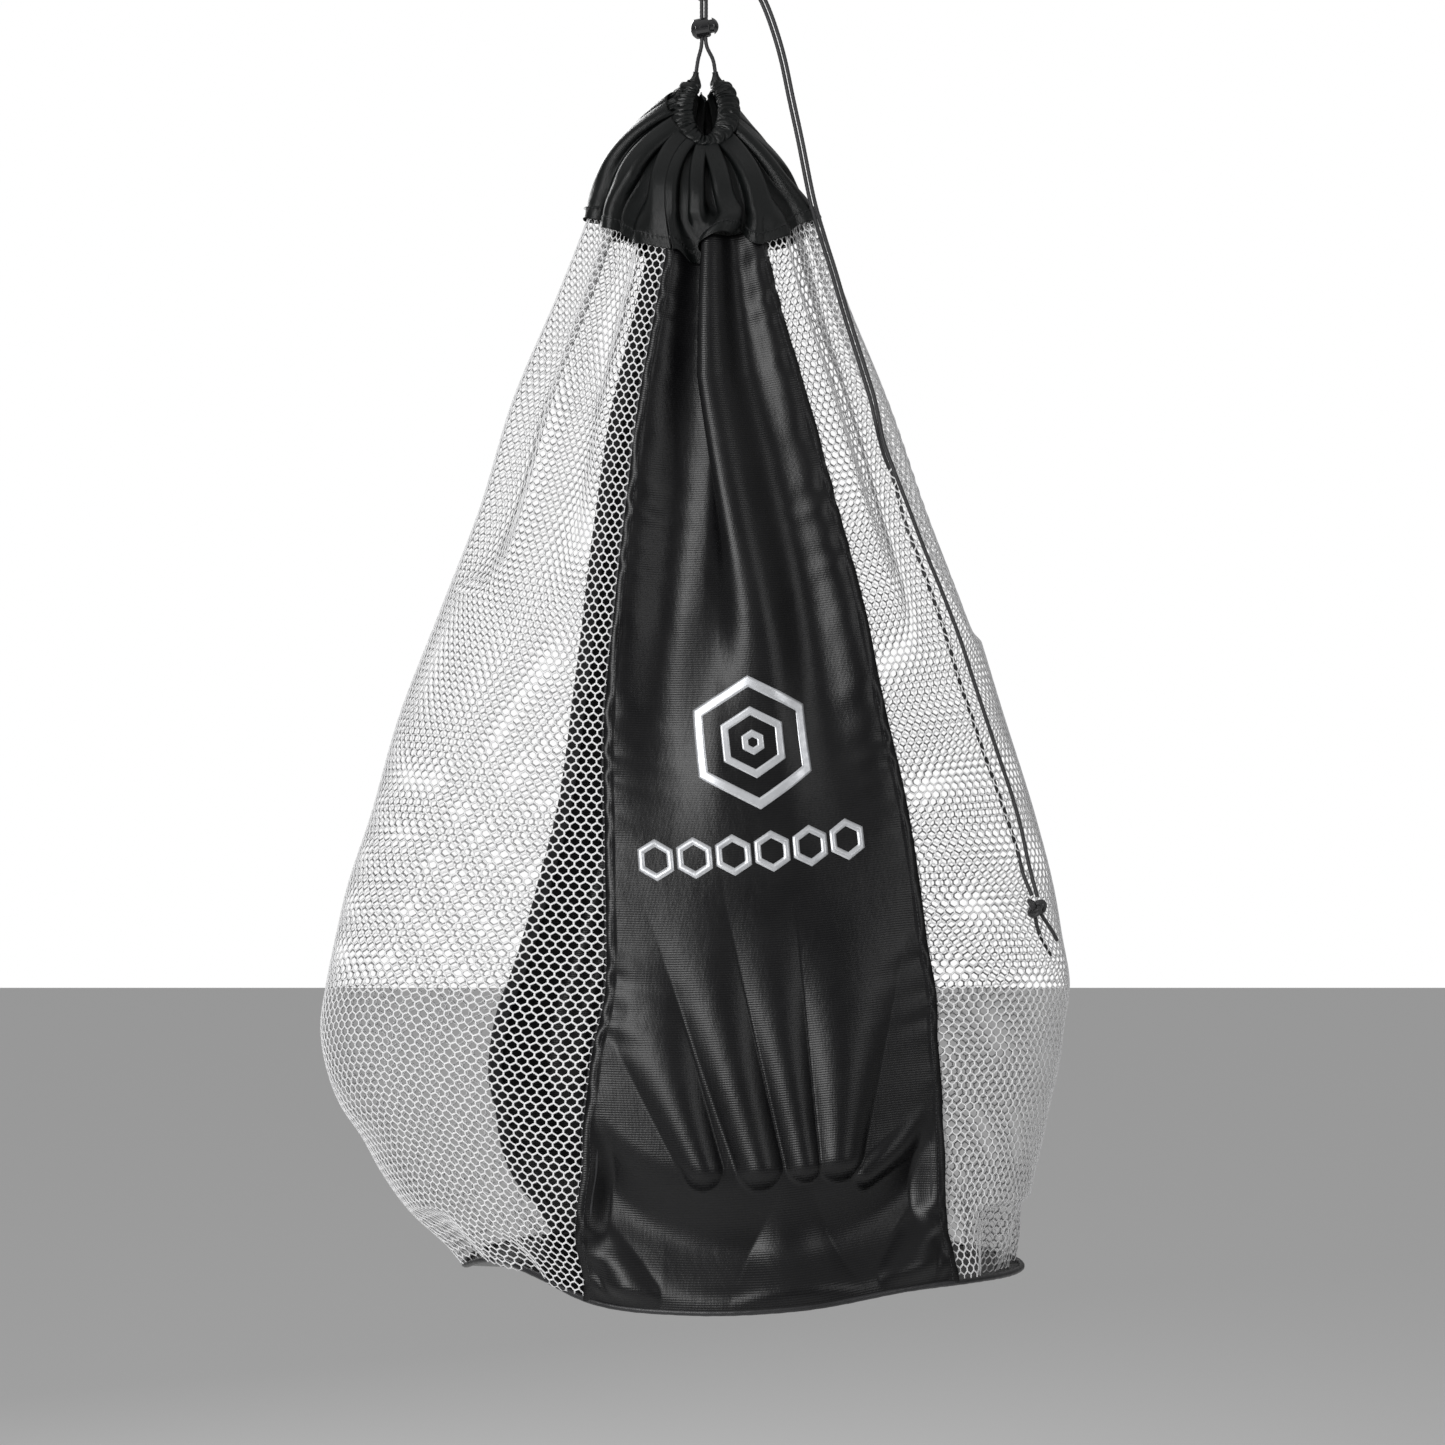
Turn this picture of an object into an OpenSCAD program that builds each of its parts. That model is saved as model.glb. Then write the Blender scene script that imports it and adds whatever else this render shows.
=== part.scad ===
// Hanging mesh ball bag with a drawcord mouth and a spring cord lock.
// The origin is the top of the cord eye that the bag hangs from; +Z is up and -Y is the printed front.

/* [Bag] */
// Height from the base seam up to the hang point
bag_drop = 1035; // [1000:5:1080]
// Half the base's width
base_half_w = 216; // [210:1:222]
// Half the base's depth
base_half_d = 190; // [180:1:200]
// Thickness of the fabric shells
fabric_t = 2.4; // [2:0.1:3]
// Radius of the piping round the base
piping_r = 2.2; // [1.5:0.1:3]
// Width of the binding tape over each side seam
binding_w = 12; // [8:1:16]
// Gap between neighbouring pieces of cloth
cloth_gap = 0.6; // [0.4:0.1:1]

/* [Collar] */
// Height of the collar's hem below the hang point, at the two sides
hem_drop = 213; // [205:1:220]
// Extra drop of the hem at the front
hem_front_dip = 37; // [20:1:45]
// Extra drop of the hem at the back
hem_back_dip = 26; // [10:1:35]
// Outer radius of the casing that the drawcord runs in
casing_r = 5; // [4.5:0.1:6]

/* [Drawcord] */
// Diameter of the cord
cord_d = 3; // [2.6:0.1:3.2]
// Spacing of the two strands side by side
strand_gap = 3.4; // [3.3:0.1:3.8]
// Size of the knots
knot_k = 2.9; // [2.6:0.1:3.2]

/* [Cord lock] */
// Radius of the barrel
barrel_r = 7.6; // [7:0.1:8]
// Radius of the plunger's stem
stem_r = 5.2; // [5:0.1:5.4]
// Travel of the plunger
press_travel = 2.2; // [1.5:0.1:2.2]
// Tilt of the plunger above level
lock_tilt = 12; // [8:1:12]

/* [Hidden] */

cloth_black = [0.09, 0.09, 0.1];
cord_black = [0.06, 0.06, 0.07];
net_white = [0.93, 0.93, 0.93];
// Shift of the base to the right of the hang point
base_cx = 31;
// Shares of the height at which the sides' cloth starts and ends
panel_foot = 0.0045;
panel_head = 0.997;
// Thickness of the binding tape on each face of its seam
binding_t = 0.4;
// Gap between the bottom and the piping above it
base_clear = 0.2;

// The bag's section at each height below the hang point:
// height, half width, half depth, shift of the centre to the right
SECTIONS = [
    [-1035, base_half_w, base_half_d, base_cx], [-1018, 224, 189, 26], [-990, 240, 186, 12],
    [-960, 254, 181, 4], [-935, 264, 177, 0], [-910, 275, 173, -6], [-880, 284, 169, -8],
    [-850, 288, 165, -8], [-820, 288, 161, -4], [-780, 281, 157, -3], [-745, 274, 153, -2],
    [-690, 258, 145, 0], [-610, 234, 134, -1], [-530, 206, 121, 2], [-450, 175, 108, 2],
    [-365, 147, 94, 0], [-285, 113, 80, 0], [-250, 100, 72, 1], [-205, 82, 60, 0]
];
// Where the panels' edges stand round the bag, at each share of its height, in degrees
LEFT_EDGE = [[0, 239], [0.08, 248], [0.16, 254], [0.25, 257], [0.5, 254], [0.75, 252], [1, 257]];
RIGHT_EDGE = [[0, 315], [0.08, 312], [0.16, 310], [0.25, 307], [0.5, 305], [0.75, 302], [1, 295]];
BACK_LEFT_EDGE = [[0, 135], [0.08, 132], [0.16, 127], [0.25, 122], [0.5, 116], [0.75, 119], [1, 115]];

// One value of the section at height z: 1 half width, 2 half depth, 3 centre
function section(z, i) = lookup(z, [for (s = SECTIONS) [s[0], s[i]]]);
function hem_z(th) =
    -hem_drop - pow(sin(th), 2) * (sin(th) < 0 ? hem_front_dip : hem_back_dip);
function height_at(th, v) = -bag_drop + v * (hem_z(th) + bag_drop);
// A point of the bag's cloth, d below its outer face
function cloth(th, v, d = 0) =
    let (z = height_at(th, v))
    [section(z, 3) + (section(z, 1) - d) * cos(th), (section(z, 2) - d) * sin(th), z];
// The turn in degrees that moves a point w millimetres round the bag
function turn_for(th, v, w) =
    let (z = height_at(th, v))
    w * 180 / PI / norm([section(z, 1) * sin(th), section(z, 2) * cos(th)]);
function front_left(v) = lookup(v, LEFT_EDGE);
function front_right(v) = lookup(v, RIGHT_EDGE);
function back_left(v) = lookup(v, BACK_LEFT_EDGE);
function back_right(v) = front_left(v) + 180;
function beside(th, v, w) = th + turn_for(th, v, w);

// The rim of the cinched mouth, low in front and high at the back
rim_centre = [2, -8, -142];
rim_half = [18, 17, 28];
function rim(th) =
    rim_centre + [rim_half[0] * cos(th), rim_half[1] * sin(th), rim_half[2] * sin(th)];
// Where the casing ends, in degrees round the rim
ear_right = 61;
ear_left = 119;
// How far the gathered collar stands out between the rim and the hem, more so on the left
puff_mean = 16;
puff_lean = 6;
puff_rise = 0.8;
function puff(th, t) = (puff_mean - puff_lean * cos(th)) * sin(180 * pow(t, puff_rise));
// A point of the collar between the rim, t = 0, and the hem, t = 1, d below its outer face
function collar_point(th, t, d) =
    let (a = rim(th), b = cloth(th, 1), out = [cos(th), sin(th), 0])
    a + t * (b - a) + (puff(th, t) - d) * out;

// Routes of the cords: points from end to end
STRAND_LEFT = [[-1, 0, -52], [-1, 0, -66], [-1, 0, -88], [-4, 3, -101]];
STRAND_RIGHT = [[8, 3, -101], [2.4, 0, -88], [2.4, 0, -66], [2.4, 0, -52]];
LOOP = [[-4, 0, -40], [-9, 0, -34], [-13, 0, -25], [-13, 0, -14], [-8, 0, -4], [0, 0, 0],
        [8, 0, -4], [13, 0, -14], [13, 0, -25], [9, 0, -34], [3, 0, -40]];
TAIL_START = [[6, -6, -42], [13, -8, -38], [22, -9, -37], [33, -11, -41], [42, -13, -50],
              [49, -15, -64], [56, -17, -84], [62, -19, -106], [68, -20, -135], [75, -22, -168],
              [84, -26, -214], [92, -36, -245], [100, -42, -272], [110, -49, -308],
              [121, -54, -344], [129, -57, -371]];
TAIL_OUTER = [[137, -60, -402], [145, -62, -425], [155, -63, -451], [168, -63, -485],
              [182, -63, -519], [195, -63, -553], [205, -63, -584], [215, -63, -614],
              [225, -63, -644], [234, -64, -671], [241, -66, -697], [246, -70, -722],
              [252, -75, -747]];
TAIL_INNER = [[132, -58, -392], [138, -48, -412], [146, -42, -431], [154, -46, -462],
              [165, -48, -492], [176, -50, -523], [186, -52, -553], [195, -54, -584],
              [204, -54, -610], [213, -53, -637], [224, -51, -667], [233, -54, -694],
              [238, -62, -712], [242, -69, -730], [248, -74, -746]];
END_OUTER = [[255, -71, -760], [260, -66, -767], [265, -60, -774], [269, -55, -781]];
END_INNER = [[251, -70, -763], [254, -62, -773], [260, -52, -784], [266, -44, -793]];
tail_spacing = 3.4;
hang_knot_at = [-0.5, 0, -46];
end_knot_at = [251, -74, -755];
// Size of the end knot as a share of the hang knot's
end_knot_share = 0.9;
// Half the gap between a knot's two ends, in degrees of its round
knot_gap = 6;
cord_sides = 8;
casing_sides = 10;
// Room round the cord in its casing
casing_slack = 0.6;

// A closed shell between two faces of equal grids of points, outer[i][j] and inner[i][j]
module shell(outer, inner) {
    rows = len(outer);
    cols = len(outer[0]);
    count = rows * cols;
    points = concat([for (r = outer) for (p = r) p], [for (r = inner) for (p = r) p]);
    function at(i, j) = i * cols + j;
    faces = concat(
        [for (i = [0:rows - 2]) for (j = [0:cols - 2]) each
            [[at(i, j), at(i + 1, j), at(i + 1, j + 1)], [at(i, j), at(i + 1, j + 1), at(i, j + 1)],
             [count + at(i, j), count + at(i + 1, j + 1), count + at(i + 1, j)],
             [count + at(i, j), count + at(i, j + 1), count + at(i + 1, j + 1)]]],
        [for (i = [0:rows - 2]) each
            [[at(i, 0), count + at(i, 0), count + at(i + 1, 0)],
             [at(i, 0), count + at(i + 1, 0), at(i + 1, 0)],
             [at(i, cols - 1), count + at(i + 1, cols - 1), count + at(i, cols - 1)],
             [at(i, cols - 1), at(i + 1, cols - 1), count + at(i + 1, cols - 1)]]],
        [for (j = [0:cols - 2]) each
            [[at(0, j), count + at(0, j + 1), count + at(0, j)],
             [at(0, j), at(0, j + 1), count + at(0, j + 1)],
             [at(rows - 1, j), count + at(rows - 1, j), count + at(rows - 1, j + 1)],
             [at(rows - 1, j), count + at(rows - 1, j + 1), at(rows - 1, j + 1)]]]);
    polyhedron(points, faces, convexity = 6);
}

// A strip of cloth between two edges round the bag, each a list of one angle per height
module strip(starts, ends, heights, cols, outer_d, inner_d) {
    function th(i, j) = starts[i] + (ends[i] - starts[i]) * j / cols;
    rows = len(heights);
    shell([for (i = [0:rows - 1]) [for (j = [0:cols]) cloth(th(i, j), heights[i], outer_d)]],
          [for (i = [0:rows - 1]) [for (j = [0:cols]) cloth(th(i, j), heights[i], inner_d)]]);
}

panel_rows = 22;
HEIGHTS = [for (i = [0:panel_rows]) panel_foot + (panel_head - panel_foot) * i / panel_rows];
panel_inset = binding_w / 2 + cloth_gap;

module front_panel() {
    color(cloth_black) strip([for (v = HEIGHTS) beside(front_left(v), v, panel_inset)],
                             [for (v = HEIGHTS) beside(front_right(v), v, -panel_inset)],
                             HEIGHTS, 10, 0, fabric_t);
}

module back_panel() {
    color(cloth_black) strip([for (v = HEIGHTS) beside(back_right(v), v, panel_inset)],
                             [for (v = HEIGHTS) beside(back_left(v) + 360, v, -panel_inset)],
                             HEIGHTS, 10, 0, fabric_t);
}

module left_mesh() {
    color(net_white) strip([for (v = HEIGHTS) beside(back_left(v), v, panel_inset)],
                           [for (v = HEIGHTS) beside(front_left(v), v, -panel_inset)],
                           HEIGHTS, 14, 0, fabric_t);
}

module right_mesh() {
    color(net_white) strip([for (v = HEIGHTS) beside(front_right(v), v, panel_inset)],
                           [for (v = HEIGHTS) beside(back_right(v), v, -panel_inset)],
                           HEIGHTS, 14, 0, fabric_t);
}

// Binding tape folded over the seam that follows one edge, given as an angle per height
module binding(edge) {
    color(cloth_black) strip([for (i = [0:panel_rows]) beside(edge[i], HEIGHTS[i], -binding_w / 2)],
                             [for (i = [0:panel_rows]) beside(edge[i], HEIGHTS[i], binding_w / 2)],
                             HEIGHTS, 2, -binding_t, fabric_t + binding_t);
}

module front_left_binding() { binding([for (v = HEIGHTS) front_left(v)]); }
module front_right_binding() { binding([for (v = HEIGHTS) front_right(v)]); }
module back_left_binding() { binding([for (v = HEIGHTS) back_left(v)]); }
module back_right_binding() { binding([for (v = HEIGHTS) back_right(v)]); }

function oval(grow, th) =
    [(base_half_w + grow) * cos(th), (base_half_d + grow) * sin(th)];

// Flat bottom, sewn inside the piping
module base_panel() {
    corners = 120;
    color(cloth_black) translate([base_cx, 0, -bag_drop - fabric_t - base_clear])
        linear_extrude(fabric_t)
            polygon([for (i = [0:corners - 1]) oval(-piping_r - cloth_gap, 360 * i / corners)]);
}

// Round welt sewn in between the bottom and the sides, all the way round
module base_piping() {
    turns = 72;
    sides = 8;
    points = [for (i = [0:turns - 1]) for (j = [0:sides - 1])
        let (th = 360 * i / turns, q = 360 * (j + 0.5) / sides, p = oval(piping_r * cos(q), th))
        [base_cx + p[0], p[1], -bag_drop + piping_r * sin(q)]];
    faces = [for (i = [0:turns - 1]) for (j = [0:sides - 1]) each
        let (a = i * sides + j, b = i * sides + (j + 1) % sides,
             c = ((i + 1) % turns) * sides + (j + 1) % sides, e = ((i + 1) % turns) * sides + j)
        [[a, b, c], [a, c, e]]];
    color(cloth_black) polyhedron(points, faces, convexity = 6);
}

// Gathered skirt of the mouth, open at the rim and at the hem
module collar() {
    turns = 48;
    steps = 8;
    foot = 0.985;
    head = 0.07;
    function t(i) = foot + (head - foot) * i / steps;
    function ring(i, d) = [for (j = [0:turns]) collar_point(360 * j / turns, t(i), d)];
    rows = concat([for (i = [0:steps]) ring(i, 0)], [for (i = [steps:-1:0]) ring(i, fabric_t)]);
    n = len(rows);
    points = [for (r = rows) for (j = [0:turns - 1]) r[j]];
    faces = [for (i = [0:n - 1]) for (j = [0:turns - 1]) each
        let (a = i * turns + j, b = i * turns + (j + 1) % turns,
             c = ((i + 1) % n) * turns + (j + 1) % turns, e = ((i + 1) % n) * turns + j)
        [[a, c, b], [a, e, c]]];
    color(cloth_black) polyhedron(points, faces, convexity = 6);
}

// Unit frames carried along a path: each is [side, up] across the path's direction
function unit(v) = v / norm(v);
function heading(path, i) =
    unit(path[min(i + 1, len(path) - 1)] - path[max(i - 1, 0)]);
function carried(path, i, side) = unit(side - (side * heading(path, i)) * heading(path, i));
function sides_along(path, i = 0, side = [0.08, 1, 0.03]) =
    i >= len(path) ? []
    : let (s = carried(path, i, side)) concat([s], sides_along(path, i + 1, s));
function rings_of(path, r, n) =
    let (sides = sides_along(path))
    [for (i = [0:len(path) - 1]) let (s = sides[i], u = cross(heading(path, i), s))
        [for (j = [0:n - 1]) path[i] + r * (cos(360 * j / n) * s + sin(360 * j / n) * u)]];

// A round cord of radius r along a path
module cord(path, r, n) {
    rings = rings_of(path, r, n);
    m = len(rings);
    faces = concat([[for (j = [0:n - 1]) j]], [[for (j = [n - 1:-1:0]) (m - 1) * n + j]],
        [for (i = [0:m - 2]) for (j = [0:n - 1]) each
            let (a = i * n + j, b = i * n + (j + 1) % n)
            [[a, a + n, b + n], [a, b + n, b]]]);
    polyhedron([for (q = rings) for (p = q) p], faces, convexity = 8);
}

// A tube with a bore along a path
module sleeve(path, r_out, r_in, n) {
    rings = concat(rings_of(path, r_out, n), rings_of(path, r_in, n));
    m = len(path);
    inner = m * n;
    faces = concat(
        [for (i = [0:m - 2]) for (j = [0:n - 1]) each
            let (a = i * n + j, b = i * n + (j + 1) % n)
            [[a, a + n, b + n], [a, b + n, b],
             [inner + a, inner + b + n, inner + a + n], [inner + a, inner + b, inner + b + n]]],
        [for (j = [0:n - 1]) each
            let (b = (j + 1) % n, e = (m - 1) * n)
            [[j, b, inner + b], [j, inner + b, inner + j],
             [e + j, inner + e + b, e + b], [e + j, inner + e + j, inner + e + b]]]);
    polyhedron([for (q = rings) for (p = q) p], faces, convexity = 8);
}

rim_steps = 26;
RIM_PATH = [for (i = [0:rim_steps]) rim(ear_left + (360 + ear_right - ear_left) * i / rim_steps)];

module drawcord_casing() {
    color(cloth_black) sleeve(RIM_PATH, casing_r, cord_d / 2 + casing_slack, casing_sides);
}

// One length from the hang knot through the lock, round the mouth and back up
module drawcord() {
    color(cord_black) cord(concat(STRAND_LEFT, RIM_PATH, STRAND_RIGHT), cord_d / 2, cord_sides);
}

// The doubled cord's eye, which the bag hangs from
module hang_loop() {
    for (side = [-1, 1])
        color(cord_black) translate([0, side * strand_gap / 2, -cord_d / 2])
            cord(LOOP, cord_d / 2, cord_sides);
}

// An overhand knot, as its own round of cord
module knot(size, centre, tilt) {
    turns = 30;
    function at(t) = size * [sin(t) + 2 * sin(2 * t), cos(t) - 2 * cos(2 * t), -1.3 * sin(3 * t)];
    color(cord_black) translate(centre) rotate(tilt)
        cord([for (i = [0:turns]) at(knot_gap + (360 - 2 * knot_gap) * i / turns)],
             cord_d / 2, cord_sides);
}

module hang_knot() { knot(knot_k, hang_knot_at, [90, 0, 0]); }
module end_knot() { knot(knot_k * end_knot_share, end_knot_at, [60, 20, 0]); }

// The two strands of the free tail, side by side as far as they part
function alongside(path, d) =
    [for (i = [0:len(path) - 1]) let (h = heading(path, i)) path[i] + d * unit([-h[2], 0, h[0]])];

module tail_cord_outer() {
    color(cord_black)
        cord(concat(alongside(TAIL_START, tail_spacing / 2), TAIL_OUTER), cord_d / 2, cord_sides);
}

module tail_cord_inner() {
    color(cord_black)
        cord(concat(alongside(TAIL_START, -tail_spacing / 2), TAIL_INNER), cord_d / 2, cord_sides);
}

module cord_end_outer() { color(cord_black) cord(END_OUTER, cord_d / 2, cord_sides); }
module cord_end_inner() { color(cord_black) cord(END_INNER, cord_d / 2, cord_sides); }

// Cord lock: a barrel and a plunger on one tilted axis, with a slot for both strands
lock_centre = [0.7, 0, -76];
// Places along the axis, and the ball that rounds the barrel's closed end
barrel_back = -10.4;
barrel_mouth = 4.4;
barrel_round_at = -1.6;
barrel_round_r = 9;
bore_floor = -8.6;
stem_clear = 0.15;
stem_back = -4.8;
// The plunger's button, and the ball that rounds it
head_back = 7.2;
head_t = 6;
head_r = 6.4;
head_round_at = 4.6;
head_round_r = 7;
spring_r = 3;
spring_wire = 0.4;
spring_slack = 0.3;
// Slot for the strands: its depth from front to back, room at each side, and half its height
slot_depth = cord_d + 0.8;
slot_clear = 0.35;
slot_half_h = 30;
// How far a cut runs past the surface that it opens
past = 1;

module on_lock_axis() { translate(lock_centre) rotate([0, 90 - lock_tilt, 0]) children(); }

// Upright slot for both strands, longer to the right by the reach
module strand_slot(reach) {
    half = cord_d / 2 + strand_gap / 2 + slot_clear;
    translate(lock_centre + [-half, -slot_depth / 2, -slot_half_h])
        cube([2 * half + reach, slot_depth, 2 * slot_half_h]);
}

module lock_barrel() {
    color(cord_black) difference() {
        on_lock_axis() rotate_extrude($fn = 64) difference() {
            intersection() {
                translate([0, barrel_back]) square([barrel_r, barrel_mouth - barrel_back]);
                translate([0, barrel_round_at]) circle(r = barrel_round_r, $fn = 96);
            }
            translate([-past, bore_floor])
                square([stem_r + stem_clear + past, barrel_mouth - bore_floor + past]);
        }
        strand_slot(0);
    }
}

module lock_plunger() {
    color(cord_black) difference() {
        on_lock_axis() rotate_extrude($fn = 64) union() {
            translate([0, stem_back]) square([stem_r, head_back - stem_back + past]);
            intersection() {
                translate([0, head_back]) square([head_r, head_t]);
                translate([0, head_round_at]) circle(r = head_round_r, $fn = 96);
            }
        }
        strand_slot(press_travel);
    }
}

// Coil spring pressed between the barrel's floor and the plunger's stem
module lock_spring() {
    coils = 3;
    steps = 12;
    foot = bore_floor + spring_wire + spring_slack / 3;
    length = stem_back - bore_floor - 2 * spring_wire - spring_slack;
    path = [for (i = [0:coils * steps])
        [spring_r * cos(360 * i / steps), spring_r * sin(360 * i / steps),
         foot + length * i / (coils * steps)]];
    color("silver") on_lock_axis() cord(path, spring_wire / 2, 6);
}

front_panel();
back_panel();
left_mesh();
right_mesh();
front_left_binding();
front_right_binding();
back_left_binding();
back_right_binding();
base_panel();
base_piping();
collar();
drawcord_casing();
drawcord();
hang_loop();
hang_knot();
tail_cord_outer();
tail_cord_inner();
end_knot();
cord_end_outer();
cord_end_inner();
lock_barrel();
lock_spring();
lock_plunger();
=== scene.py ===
"""Looks of the hanging mesh ball bag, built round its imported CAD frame. Metres, +Z up, -Y front."""
import math

import bpy
import numpy as np
from mathutils import Euler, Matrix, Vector


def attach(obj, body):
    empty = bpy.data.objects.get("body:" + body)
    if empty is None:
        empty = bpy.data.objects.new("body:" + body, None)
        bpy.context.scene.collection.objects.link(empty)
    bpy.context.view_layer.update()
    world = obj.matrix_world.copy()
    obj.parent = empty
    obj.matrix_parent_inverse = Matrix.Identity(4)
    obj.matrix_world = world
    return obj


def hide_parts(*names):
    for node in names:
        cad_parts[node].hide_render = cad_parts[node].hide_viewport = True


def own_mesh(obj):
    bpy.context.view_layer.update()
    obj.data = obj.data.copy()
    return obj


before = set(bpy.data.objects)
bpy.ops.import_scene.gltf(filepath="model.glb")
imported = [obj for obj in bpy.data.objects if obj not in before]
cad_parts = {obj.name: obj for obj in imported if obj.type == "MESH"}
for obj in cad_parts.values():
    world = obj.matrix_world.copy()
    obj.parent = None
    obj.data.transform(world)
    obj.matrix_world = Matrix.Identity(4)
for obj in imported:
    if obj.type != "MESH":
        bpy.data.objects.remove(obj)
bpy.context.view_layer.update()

# ---- sizes, in metres

MM = 0.001
BAG_DROP = 1.035
BASE_HALF_W = 0.216
BASE_HALF_D = 0.190
BASE_CX = 0.031
PIPING_R = 0.0022
HEM_DROP = 0.213
HEM_FRONT_DIP = 0.037
HEM_BACK_DIP = 0.026
CORD_D = 0.003
STRAND_GAP = 0.0034
TAIL_SPACING = 0.0034
# Knots: sizes, turns in degrees, height as a share of the size, and the share that the inner strand takes
KNOT_SIZE = 0.0026
END_KNOT_SIZE = 0.00247
HANG_KNOT_TURN = (90, 0, 0)
END_KNOT_TURN = (60, 20, 0)
KNOT_RISE = 1.3
KNOT_INNER = 0.55

PANEL_FOOT_W = 0.286
PANEL_HEAD_W = 0.156
NET_FOOT_W = 0.410
NET_HEAD_W = 0.320
SIDE_HEIGHT = 0.83
COLLAR_HEIGHT = 0.108
CLOTH_T = 0.0005
LAP = 0.004
HEM_W = 0.006
COLLAR_HEM_W = 0.009
PANEL_FOOT_FLAT = PANEL_FOOT_W + 2 * LAP
PANEL_HEAD_FLAT = PANEL_HEAD_W + 2 * LAP
CELL_W = 0.0074
CELL_H = 0.0056
# Share of its height where the net's cells end, under the collar's hem
NET_TOP = 0.988
THREAD = 0.00135

# The bag's section in millimetres: height, half width, half depth, shift of the centre to the right
SECTIONS = MM * np.array([
    [-1035, 216, 190, 31], [-1018, 224, 189, 26], [-990, 240, 186, 12], [-960, 254, 181, 4],
    [-935, 264, 177, 0], [-910, 275, 173, -6], [-880, 284, 169, -8], [-850, 288, 165, -8],
    [-820, 288, 161, -4], [-780, 281, 157, -3], [-745, 274, 153, -2], [-690, 258, 145, 0],
    [-610, 234, 134, -1], [-530, 206, 121, 2], [-450, 175, 108, 2], [-365, 147, 94, 0],
    [-285, 113, 80, 0], [-250, 100, 72, 1], [-205, 82, 60, 0]])
# Share of the height, then the front panel's left and right edges and the back panel's right and left
# ones, in degrees round the bag
EDGES = np.array([[0, 239, 315, 419, 495], [0.08, 248, 312, 428, 492], [0.16, 254, 310, 434, 487],
                  [0.25, 257, 307, 437, 482], [0.5, 254, 305, 434, 476], [0.75, 252, 302, 432, 479],
                  [1, 257, 295, 437, 475]])
# The same four edges at the cinched rim
RIM_EDGES = np.array([239, 313, 419, 493])
# Lift of the base's edge above level, by degrees round the bag
BASE_LIFT = np.array([[180, 0], [192, 0.005], [204, 0.015], [213, 0.020], [225, 0.015], [239, 0.001],
                      [259, -0.003], [280, 0], [304, 0.009], [320, 0.008], [338, 0.004], [355, 0],
                      [540, 0]])

# The rim of the cinched mouth
RIM_CENTRE = np.array([0.002, -0.008, -0.142])
RIM_HALF = np.array([0.018, 0.017, 0.028])
EAR_RIGHT = 61
EAR_LEFT = 119
RIM_TURN = np.linspace(EAR_LEFT, 360 + EAR_RIGHT, 27)
# How far the collar puffs out, how much more it does on the left, and the curve of the puff down from the rim
PUFF_MEAN = 0.016
PUFF_LEAN = 0.006
PUFF_RISE = 0.8

# Routes of the cords, in millimetres below and beside the hang point, end to end
STRAND_LEFT = [[-1, 0, -52], [-1, 0, -66], [-1, 0, -88], [-4, 3, -101]]
STRAND_RIGHT = [[8, 3, -101], [2.4, 0, -88], [2.4, 0, -66], [2.4, 0, -52]]
LOOP = [[-4, 0, -40], [-9, 0, -34], [-13, 0, -25], [-13, 0, -14], [-8, 0, -4], [0, 0, 0],
        [8, 0, -4], [13, 0, -14], [13, 0, -25], [9, 0, -34], [3, 0, -40]]
TAIL_START = [[6, -6, -42], [13, -8, -38], [22, -9, -37], [33, -11, -41], [42, -13, -50],
              [49, -15, -64], [56, -17, -84], [62, -19, -106], [68, -20, -135], [75, -22, -168],
              [84, -26, -214], [92, -36, -245], [100, -42, -272], [110, -49, -308],
              [121, -54, -344], [129, -57, -371]]
TAIL_OUTER = [[137, -60, -402], [145, -62, -425], [155, -63, -451], [168, -63, -485],
              [182, -63, -519], [195, -63, -553], [205, -63, -584], [215, -63, -614],
              [225, -63, -644], [234, -64, -671], [241, -66, -697], [246, -70, -722],
              [252, -75, -747]]
TAIL_INNER = [[132, -58, -392], [138, -48, -412], [146, -42, -431], [154, -46, -462],
              [165, -48, -492], [176, -50, -523], [186, -52, -553], [195, -54, -584],
              [204, -54, -610], [213, -53, -637], [224, -51, -667], [233, -54, -694],
              [238, -62, -712], [242, -69, -730], [248, -74, -746]]
END_OUTER = [[255, -71, -760], [260, -66, -767], [265, -60, -774], [269, -55, -781]]
END_INNER = [[251, -70, -763], [254, -62, -773], [260, -52, -784], [266, -44, -793]]
HANG_KNOT = [-0.5, 0, -46]
END_KNOT = [251, -74, -755]


# ---- camera

def placed(name, data):
    """A new object in the scene."""
    obj = bpy.data.objects.new(name, data)
    bpy.context.scene.collection.objects.link(obj)
    return obj


def camera():
    data = bpy.data.cameras.new("camera")
    obj = placed("camera", data)
    distance = 2.35
    shown = 1.1228
    middle_x, middle_z = 0.0152, -0.6158
    data.sensor_width = 36
    data.lens = data.sensor_width * distance / shown
    obj.location = (middle_x, -distance, middle_z)
    obj.rotation_euler = (math.pi / 2, 0, 0)
    bpy.context.scene.camera = obj


camera()


# ---- node trees of the materials

def new_material(name, specular=0.5):
    """A material, its node tree and its Principled shader."""
    made = bpy.data.materials.new(name)
    made.use_nodes = True
    shader = made.node_tree.nodes["Principled BSDF"]
    shader.inputs["Specular IOR Level"].default_value = specular
    return made, made.node_tree, shader


def node(tree, kind, inputs=None, **settings):
    made = tree.nodes.new(kind)
    for key, value in settings.items():
        setattr(made, key, value)
    for key, value in (inputs or {}).items():
        if isinstance(value, bpy.types.NodeSocket):
            tree.links.new(value, made.inputs[key])
        else:
            made.inputs[key].default_value = value
    return made


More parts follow.
